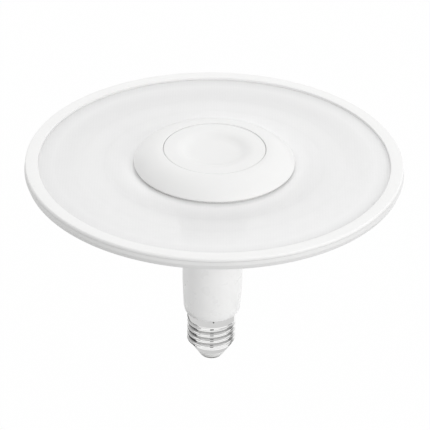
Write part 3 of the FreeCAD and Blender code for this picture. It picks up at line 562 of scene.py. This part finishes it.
frame_outline = rounded([
    (FRAME_BORE, FRAME_BASE, 0.5),
    (RIM_R - 1.0, FRAME_BASE, 0.7),
    (RIM_R, PLATE_BOTTOM + 0.4, 0.8),
    (RIM_R - 0.5, FRAME_TOP, 0.3),
    (SKIRT_R + SEAT_GAP, FRAME_TOP, 0),
    (SKIRT_R + SEAT_GAP, PLATE_BOTTOM, 0),
    (FRAME_BORE, PLATE_BOTTOM, 0.3),
])
piece(turned("rear_frame_ring", frame_outline, RIM_COLUMNS), white_rim, "white_rim", "rear_frame")

# %% [markdown]
# ## Light plate
#
# The plate is clear acrylic with white dots printed on its back, so it reads as milky white, and
# the housing shows through it only as a faint shadow. Real dots under real acrylic could be
# traced, but they would need very many light paths for the same look. Here the dots are a regular
# cell pattern in the colour, and the Alpha socket lets a little of what is behind show. Next to
# the hub and towards the rim the print is denser. There the cover's shadow and the frame's inner
# wall would otherwise show through as dark rings, which the photograph doesn't have.

# %% Light plate
PLATE_BORE = 34.61
DOT_PITCH = 1.5
HUB_ZONE = (46, 58)                 # radii between which the print thins out
RIM_ZONE = (70, 85)                 # radii between which it gets dense again
RIM_TINT_ZONE = (70, 82)            # radii between which the white gets a little darker
PRINT = (0.95, 0.95, 0.95)
BETWEEN_DOTS = (0.93, 0.93, 0.93)
DOT_EDGE = (0.2, 0.36)              # share of the pitch, where a dot starts to end and has ended
OPACITY_AT_HUB, OPACITY_BETWEEN, OPACITY_AT_RIM = 0.97, 0.65, 0.9

dotted_acrylic = new_finish("dotted_acrylic", 0.12, IOR=PLASTIC_IOR)
tree = dotted_acrylic.node_tree
place = tree.nodes.new("ShaderNodeTexCoord")
cells = tree.nodes.new("ShaderNodeTexVoronoi")
cells.voronoi_dimensions = "2D"
cells.inputs["Scale"].default_value = 1 / (DOT_PITCH * MM)
cells.inputs["Randomness"].default_value = 0
tree.links.new(place.outputs["Object"], cells.inputs["Vector"])
tint(dotted_acrylic, cells.outputs["Distance"], PRINT, BETWEEN_DOTS, *DOT_EDGE)
dull(dotted_acrylic, noise(dotted_acrylic, 90, 4), 0.08, 0.16)
darken(dotted_acrylic, step_up(dotted_acrylic, "radius", *HUB_ZONE, 0.97, 0.945))
darken(dotted_acrylic, step_up(dotted_acrylic, "radius", *RIM_TINT_ZONE, 1.0, 0.985))
dense_at_hub = step_up(dotted_acrylic, "radius", *HUB_ZONE, OPACITY_AT_HUB, OPACITY_BETWEEN)
dense_at_rim = step_up(dotted_acrylic, "radius", *RIM_ZONE, OPACITY_BETWEEN, OPACITY_AT_RIM)
tree.links.new(larger_of(dotted_acrylic, dense_at_hub, dense_at_rim),
               tree.nodes["Principled BSDF"].inputs["Alpha"])

PLATE_EDGE = 0.15
plate_outline = rounded([
    (PLATE_BORE, PLATE_BOTTOM, PLATE_EDGE),
    (PLATE_R, PLATE_BOTTOM, PLATE_EDGE),
    (PLATE_R, PLATE_TOP, PLATE_EDGE),
    (PLATE_BORE, PLATE_TOP, PLATE_EDGE),
], 2)
plate = turned("dotted_plate", plate_outline, RIM_COLUMNS)
piece(plate, dotted_acrylic, "dotted_acrylic", "light_guide_plate")

# %% [markdown]
# ## Hub cover and centre cap
#
# The cover is a shallow dome that presses a gasket on the plate and hides the LEDs. Its floor is
# sunk, and a dished cap snaps into it, which leaves a fine ring-shaped groove round the cap. The
# dome and the dish could be modelled by pushing the points of a disc up and down. As arcs of one
# outline each, they keep exact radii, and the groove keeps its width all the way round.

# %% Hub cover
COVER_R = 42.4
COVER_BASE = PLATE_TOP + 1.0        # the gasket is between them
COVER_EDGE = 0.8                    # height of the upright edge
COVER_RIDGE = PLATE_TOP + 9.35
COVER_FLOOR = PLATE_TOP + 5.3
FLOOR_THICKNESS = 1.5
COVER_ROUNDING, RIDGE_ROUNDING = 0.4, 0.45
RIDGE_FLAT = 0.6
FOOT_WIDTH = 3.8                    # of the ring that stands on the gasket
FOOT_HEIGHT = 2.0
WELL_R = 27.14
WELL_WALL = 1.5
DOME_MIDDLE = (36.2, PLATE_TOP + 7.35)
INNER_DOME_MIDDLE = (35.2, PLATE_TOP + 5.85)

# painted shade: the cover and centre cap get a darker white than the rim and the housing
white_cover = moulded_white("white_cover", (0.82, 0.82, 0.815), 0.3)
cover_outline = np.concatenate([
    [(0, COVER_FLOOR)],
    [(WELL_R, COVER_FLOOR)],
    quarter_arc((WELL_R + RIDGE_ROUNDING, COVER_RIDGE - RIDGE_ROUNDING), RIDGE_ROUNDING, 180),
    arc_through((WELL_R + RIDGE_ROUNDING + RIDGE_FLAT, COVER_RIDGE), DOME_MIDDLE,
                (COVER_R, COVER_BASE + COVER_EDGE), 32),
    quarter_arc((COVER_R - COVER_ROUNDING, COVER_BASE + COVER_ROUNDING), COVER_ROUNDING, 0),
    [(COVER_R - FOOT_WIDTH, COVER_BASE), (COVER_R - FOOT_WIDTH, COVER_BASE + FOOT_HEIGHT)],
    arc_through((COVER_R - FOOT_WIDTH, COVER_BASE + FOOT_HEIGHT + 0.1), INNER_DOME_MIDDLE,
                (WELL_R + WELL_WALL, COVER_RIDGE - 1.8), 8),
    [(WELL_R + WELL_WALL, COVER_FLOOR - FLOOR_THICKNESS)],
    [(0, COVER_FLOOR - FLOOR_THICKNESS)],
])
piece(turned("cover_dome", cover_outline), white_cover, "white_cover", "hub_cover")

# %% Centre cap
CAP_TOP = PLATE_TOP + 9.2
CAP_R = 27.0
CAP_WALL = 1.3
CAP_EDGE = 0.7
DISH_DEPTH = 2.3
DISH_FLOOR = CAP_TOP - DISH_DEPTH
DISH_R, DISH_MOUTH_R = 11.6, 21.0
SLOPE_SAG = 0.322                   # height of each slope's arc halfway to the slope's middle

slope_middle_r = (DISH_R + DISH_MOUTH_R) / 2
slope_middle = (slope_middle_r, DISH_FLOOR + DISH_DEPTH / 2)
lower_slope = ((DISH_R + slope_middle_r) / 2, DISH_FLOOR + SLOPE_SAG)
upper_slope = ((slope_middle_r + DISH_MOUTH_R) / 2, CAP_TOP - SLOPE_SAG)
cap_outline = np.concatenate([
    [(0, DISH_FLOOR)],
    arc_through((DISH_R, DISH_FLOOR), lower_slope, slope_middle, 10),
    arc_through(slope_middle, upper_slope, (DISH_MOUTH_R, CAP_TOP), 10),
    quarter_arc((CAP_R - CAP_EDGE, CAP_TOP - CAP_EDGE), CAP_EDGE, 90),
    [(CAP_R, COVER_FLOOR), (CAP_R - CAP_WALL, COVER_FLOOR), (CAP_R - CAP_WALL, CAP_TOP - CAP_WALL)],
    [(DISH_MOUTH_R, CAP_TOP - CAP_WALL), (DISH_R, DISH_FLOOR - CAP_WALL), (0, DISH_FLOOR - CAP_WALL)],
])
piece(turned("dished_cap", cap_outline, crease=40), white_cover, "white_cover", "centre_cap")

# %% [markdown]
# ## Housing
#
# One moulding runs from the screw cap to the plate: a spigot inside the shell, a short rounded lip
# over it, a slightly barrelled neck, and a trumpet flare that follows a quarter ellipse out to the
# hub. A loft through circles would need many of them to keep the flare smooth, so the outline is
# put together from arcs and turned. The same ellipse, one wall further in, is its inner side.

# %% Housing
WALL = 1.8
CAP_HEIGHT = 28.2
SPIGOT_R, SPIGOT_END = 11.7, 12.0
COLLAR_R, COLLAR_LOW, COLLAR_FULL = 12.75, 24.5, 25.3       # fills the shell's skirt
BORE_R, BORE_TOP = 9.9, 29.0
LIP_R, LIP_WIDTH, LIP_HEIGHT = 15.3, 1.9, 4.8
LIP_TOP = CAP_HEIGHT + LIP_HEIGHT
NECK_R, NECK_END = 16.1, 52.0
NECK_MIDDLE = (15.83, 42.6)
FLARE_LOW = 62.4
FLARE_WIDTH = 27.2
FLARE_HEIGHT = PLATE_BOTTOM - WALL - FLARE_LOW
HUB_R = 41.4
flare_centre = (NECK_R + FLARE_WIDTH, FLARE_LOW)
hub_turn = np.degrees(np.arccos((flare_centre[0] - HUB_R) / FLARE_WIDTH))
seat_r = PLATE_BORE + 0.3
seat_turn = np.degrees(np.arccos((flare_centre[0] - seat_r) / (FLARE_WIDTH + WALL)))

# painted light: the housing gets a lighter white than the rim and the cover
white_housing = moulded_white("white_housing", (0.885, 0.885, 0.88), 0.28)
housing_outline = np.concatenate([
    [(SPIGOT_R, SPIGOT_END), (SPIGOT_R, COLLAR_LOW), (COLLAR_R, COLLAR_FULL), (COLLAR_R, CAP_HEIGHT)],
    ellipse((LIP_R - LIP_WIDTH, LIP_TOP), LIP_WIDTH, LIP_HEIGHT, -90, 0, 16),
    arc_through((LIP_R, LIP_TOP), NECK_MIDDLE, (NECK_R, NECK_END), 16)[1:],
    ellipse(flare_centre, -FLARE_WIDTH, FLARE_HEIGHT, 0, hub_turn, 48),
    [(HUB_R, PLATE_BOTTOM), (seat_r, PLATE_BOTTOM)],
    ellipse(flare_centre, -FLARE_WIDTH - WALL, FLARE_HEIGHT + WALL, seat_turn, 0, 24),
    [(NECK_R - WALL, NECK_END), (LIP_R - WALL, LIP_TOP), (BORE_R, BORE_TOP), (BORE_R, SPIGOT_END)],
])
piece(turned("trumpet_housing", housing_outline), white_housing, "white_housing", "housing")

# %% [markdown]
# ## Screw cap
#
# The shell is thin brass sheet, rolled between two formers into a round-crested thread and then
# nickel plated. A helix could be made by sweeping a small profile along a spiral, but then it
# would start and stop with a step. The rolled sheet has one radius for every angle and height,
# so it is written as that: a base outline plus a wave that climbs one pitch a turn and fades out
# at both ends. The three punch marks that lock the shell to the housing are cone-shaped dents in
# the same function. The crests lie 0.25 mm lower than in the CAD model, because the marks then
# fall where the photograph shows them. In the thread's root and in the punch marks, where the
# nickel would otherwise mirror the white tent, the finish darkens by radius: a painted shade.

# %% Screw shell
PITCH = 25.4 / 7
CREST_R = 13.1
THREAD_DEPTH = 0.9
SKIRT_BAND_R = 13.15
MOUTH_R, MOUTH_Z = 9.1, 5.0
THREAD_LOW, THREAD_HIGH, RUN_OUT = 10.4, 22.3, 1.7
FIRST_CREST = 8.45                  # height of a crest on the right-hand side
SHELL_WALL = 0.35
CRIMP_Z = CAP_HEIGHT - 0.9
CRIMP_R, CRIMP_FLOOR_R, CRIMP_DEPTH = 0.58, 0.3, 0.3
CRIMP_ASIDE = 1.0                   # the front mark stands this far right of the middle
CRIMP_TURNS = np.radians([-90, 30, 150]) + CRIMP_ASIDE / SKIRT_BAND_R


def ramp(value, low, high):
    """Smooth step from 0 at low to 1 at high: 3 s squared minus 2 s cubed."""
    share = np.clip((value - low) / (high - low), 0, 1)
    return share * share * (3 - 2 * share)


def thread_wave(from_crest):
    """Radius against the thread's middle, at a distance from a crest: two equal tangent arcs."""
    quarter = PITCH / 4
    rise = THREAD_DEPTH / 2
    arc_r = (quarter ** 2 + rise ** 2) / (2 * rise)
    away = np.abs(from_crest)
    near_crest = rise - arc_r + np.sqrt(arc_r ** 2 - np.minimum(away, quarter) ** 2)
    from_root = np.maximum(2 * quarter - away, 0) * (away > quarter)
    near_root = arc_r - rise - np.sqrt(arc_r ** 2 - from_root ** 2)
    return np.where(away <= quarter, near_crest, near_root)


def crimp_dent(turn, height):
    """Depth of the punch marks: cones that rise from a flat bottom to nothing at their rim."""
    depth = 0
    for crimp in CRIMP_TURNS:
        aside = SKIRT_BAND_R * np.angle(np.exp(1j * (turn - crimp)))
        away = np.hypot(aside, height - CRIMP_Z)
        depth = depth + CRIMP_DEPTH * np.clip((CRIMP_R - away) / (CRIMP_R - CRIMP_FLOOR_R), 0, 1)
    return depth


def shell_radius(turn, height):
    """Outer radius of the shell: cone, thread and skirt in one formula."""
    middle_r = CREST_R - THREAD_DEPTH / 2
    cone = MOUTH_R + (middle_r - MOUTH_R) * np.clip((height - MOUTH_Z) / (THREAD_LOW - MOUTH_Z), 0, 1)
    to_skirt = ramp(height, THREAD_HIGH, THREAD_HIGH + RUN_OUT)
    base = cone + (SKIRT_BAND_R - middle_r) * to_skirt
    turns_off = (height - FIRST_CREST) / PITCH - turn / (2 * np.pi)
    from_crest = (turns_off - np.round(turns_off)) * PITCH
    fade = ramp(height, THREAD_LOW - RUN_OUT, THREAD_LOW) * (1 - to_skirt)
    return base + fade * thread_wave(from_crest) - crimp_dent(turn, height)


# %% Shell surface
THREAD_END = 25.6                   # rows lie closer above this height, for the punch marks
SHELL_COLUMNS, MARK_COLUMNS = 216, 23
THREAD_ROWS, MARK_ROWS = 190, 27
MARK_REACH = 1.1                    # extra columns to this distance from a mark's middle
NEARBY = 0.05                       # half the height over which the slope is measured

turns = [np.linspace(0, 2 * np.pi, SHELL_COLUMNS, endpoint=False)]
across_mark = np.linspace(-MARK_REACH, MARK_REACH, MARK_COLUMNS) / SKIRT_BAND_R
turns += [(crimp + across_mark) % (2 * np.pi) for crimp in CRIMP_TURNS]
turn = np.unique(np.concatenate(turns))[None, :]
rise = np.concatenate([
    np.linspace(MOUTH_Z, THREAD_END, THREAD_ROWS),
    np.linspace(THREAD_END + 0.1, CAP_HEIGHT, MARK_ROWS),
])[:, None]
slope = (shell_radius(turn, rise + NEARBY) - shell_radius(turn, rise - NEARBY)) / (2 * NEARBY)
outside = shell_radius(turn, rise)
inside = (outside - SHELL_WALL * np.sqrt(1 + slope ** 2))[::-2]
radius = np.concatenate([outside, inside])
height = np.concatenate([rise, rise[::-2]]) + 0 * turn
shell_points = np.stack([radius * np.cos(turn), radius * np.sin(turn), height], -1)
print("shell grid", shell_points.shape)

# %% Bright nickel
bright_nickel = new_finish("bright_nickel", 0.05, Metallic=1.0)
tint(bright_nickel, noise(bright_nickel, 220, 4), (0.94, 0.938, 0.932), (0.97, 0.968, 0.962))
dull(bright_nickel, noise(bright_nickel, 900, 5, (1, 1, 5)), 0.03, 0.07)
relief(bright_nickel, noise(bright_nickel, 1500, 3, (1, 1, 4)), 4e-6)


# Painted shade: the nickel darkens in its hollows, where it would otherwise mirror the white tent.
def shade_in_hollows(radius, above, strength, blend):
    """Darkens the nickel to a share of its colour, within a radius and over a height.

    The share is strength, and the soft edge at the radius has the width blend.
    """
    within = step_up(bright_nickel, "radius", radius - blend, radius, strength)
    below = step_up(bright_nickel, "z", above - 0.3, above, 1.0, 0.0)
    darken(bright_nickel, larger_of(bright_nickel, within, below))


# painted shade in the thread's root and in the punch marks
shade_in_hollows(CREST_R - 0.4, THREAD_LOW, 0.5, 0.5)                      # in the thread's root
shade_in_hollows(SKIRT_BAND_R - 0.05, CRIMP_Z - 2.6, 0.12, 0.15)           # in the punch marks
piece(mesh_from_grid("rolled_shell", shell_points, 50), bright_nickel, "nickel_plate", "screw_shell")

# %% [markdown]
# ## Insulator and centre contact
#
# A white plug closes the shell's mouth, and the pressed contact is riveted through it. Both are
# turned like the big parts, because a plain cylinder would lose the plug's rounded foot and the
# contact's rolled edge.

# %% Insulator and contact
CONTACT_R = 5.7
CONTACT_TOP = 0.9
CONTACT_EDGE, CONTACT_BACK = 0.35, 0.175        # roundings below and above
RIVET_R, RIVET_TOP = 1.5, 9.4
FOOT_R = 6.3
PLUG_TOP_R, PLUG_TOP = 10.5, 8.0
WAIST_R = 8.6                       # where the plug passes the shell's mouth
PLUG_GAP = 0.05

# painted light: the plug gets a lighter white than the other mouldings, as it sits in shade under the
# shell
white_plug = moulded_white("white_plug", (0.93, 0.93, 0.92), 0.35)
plug_outline = rounded([
    (RIVET_R + PLUG_GAP, CONTACT_TOP, 0),
    (FOOT_R, CONTACT_TOP, 0.4),
    (MOUTH_R - SHELL_WALL / 2, MOUTH_Z - PLUG_GAP, 0.3),
    (WAIST_R, MOUTH_Z - PLUG_GAP, 0),
    (WAIST_R, MOUTH_Z + PLUG_GAP, 0),
    (PLUG_TOP_R, PLUG_TOP, 0),
    (RIVET_R + PLUG_GAP, PLUG_TOP, 0),
], 5)
piece(turned("insulator_plug", plug_outline, 160), white_plug, "white_insulator", "base_insulator")

tinned_contact = new_finish("tinned_contact", 0.3, Metallic=1.0)
# painted shade: the tin is toned darker than bare tin, so the contact's edge reads dark as it mirrors
# the shadowed floor
tint(tinned_contact, noise(tinned_contact, 700, 4), (0.3, 0.29, 0.28), (0.46, 0.45, 0.43))
dull(tinned_contact, noise(tinned_contact, 1800, 4), 0.22, 0.42)
relief(tinned_contact, noise(tinned_contact, 2500, 3), 2e-5)
contact_outline = np.concatenate([
    [(0, 0)],
    quarter_arc((CONTACT_R - CONTACT_EDGE, CONTACT_EDGE), CONTACT_EDGE, -90, 6, 90),
    quarter_arc((CONTACT_R - CONTACT_BACK, CONTACT_TOP - CONTACT_BACK), CONTACT_BACK, 0, 4, 90),
    [(RIVET_R, CONTACT_TOP), (RIVET_R, RIVET_TOP), (0, RIVET_TOP)],
])
piece(turned("pressed_contact", contact_outline, 128), tinned_contact, "contact_metal", "centre_contact")

# %% [markdown]
# ## Parts inside
#
# The driver, the heat sink and the LEDs are closed in, so their CAD solids stay as they are. They
# could be made again here with rounded edges, but nothing of them shows. Each one still gets the
# finish of its real material, for whoever takes the lamp apart.

# %% Finishes of the inner parts


def inner_finish(name, dark, light, roughness, scale, depth, metal=0.0):
    """Two tones in coarse noise, uneven shine in finer noise, and relief in the finest."""
    finish = new_finish(name, roughness, Metallic=metal)
    tint(finish, noise(finish, scale), dark, light)
    dull(finish, noise(finish, 2 * scale, 4), 0.85 * roughness, min(1, 1.2 * roughness))
    relief(finish, noise(finish, 4 * scale, 3), depth)
    return finish


# slot, darker and lighter colour, roughness, waves in a metre, depth of the grain in metres, and
# 1 for metal
INNER_FINISHES = [
    ("reflector_tape", (0.85, 0.85, 0.85), (0.9, 0.9, 0.9), 0.6, 500, 1e-5),
    ("gasket_foam", (0.62, 0.62, 0.61), (0.78, 0.78, 0.77), 0.9, 1500, 8e-5),
    ("drawn_aluminium", (0.6, 0.6, 0.61), (0.74, 0.74, 0.75), 0.35, 300, 1e-5, 1.0),
    ("strip_circuit", (0.78, 0.78, 0.75), (0.88, 0.88, 0.86), 0.4, 400, 1e-5),
    ("led_package", (0.86, 0.66, 0.16), (0.9, 0.78, 0.3), 0.35, 600, 1e-5),
    ("screw_steel", (0.5, 0.49, 0.44), (0.68, 0.67, 0.63), 0.35, 900, 1e-5, 1.0),
    ("circuit_board", (0.03, 0.16, 0.06), (0.05, 0.24, 0.1), 0.3, 350, 1e-5),
    ("ferrite", (0.015, 0.015, 0.017), (0.03, 0.03, 0.033), 0.6, 800, 3e-5),
    ("capacitor_sleeve", (0.01, 0.014, 0.04), (0.02, 0.03, 0.07), 0.25, 250, 1e-5),
    ("film_capacitor_case", (0.45, 0.2, 0.02), (0.6, 0.3, 0.04), 0.25, 300, 1e-5),
    ("resistor_body", (0.1, 0.22, 0.3), (0.15, 0.3, 0.4), 0.4, 700, 1e-5),
    ("chip_epoxy", (0.012, 0.012, 0.012), (0.03, 0.03, 0.03), 0.55, 1200, 2e-5),
    ("red_lead", (0.4, 0.015, 0.01), (0.5, 0.03, 0.02), 0.4, 500, 1e-5),
    ("black_lead", (0.012, 0.012, 0.012), (0.025, 0.025, 0.025), 0.4, 500, 1e-5),
]
inner_finishes = {row[0]: inner_finish(*row) for row in INNER_FINISHES}
dressed = 0
for part in frame["record"]["subparts"]:
    if part["material_slot"] in inner_finishes:
        node = frame["nodes"][part["node"]]
        node.data.materials.clear()
        node.data.materials.append(inner_finishes[part["material_slot"]])
        dressed += 1
print("inner parts dressed", dressed)

# %% [markdown]
# ## View transform
#
# The picture keeps Blender's Standard view.

# %% Finish
bpy.context.scene.view_settings.view_transform = "Standard"
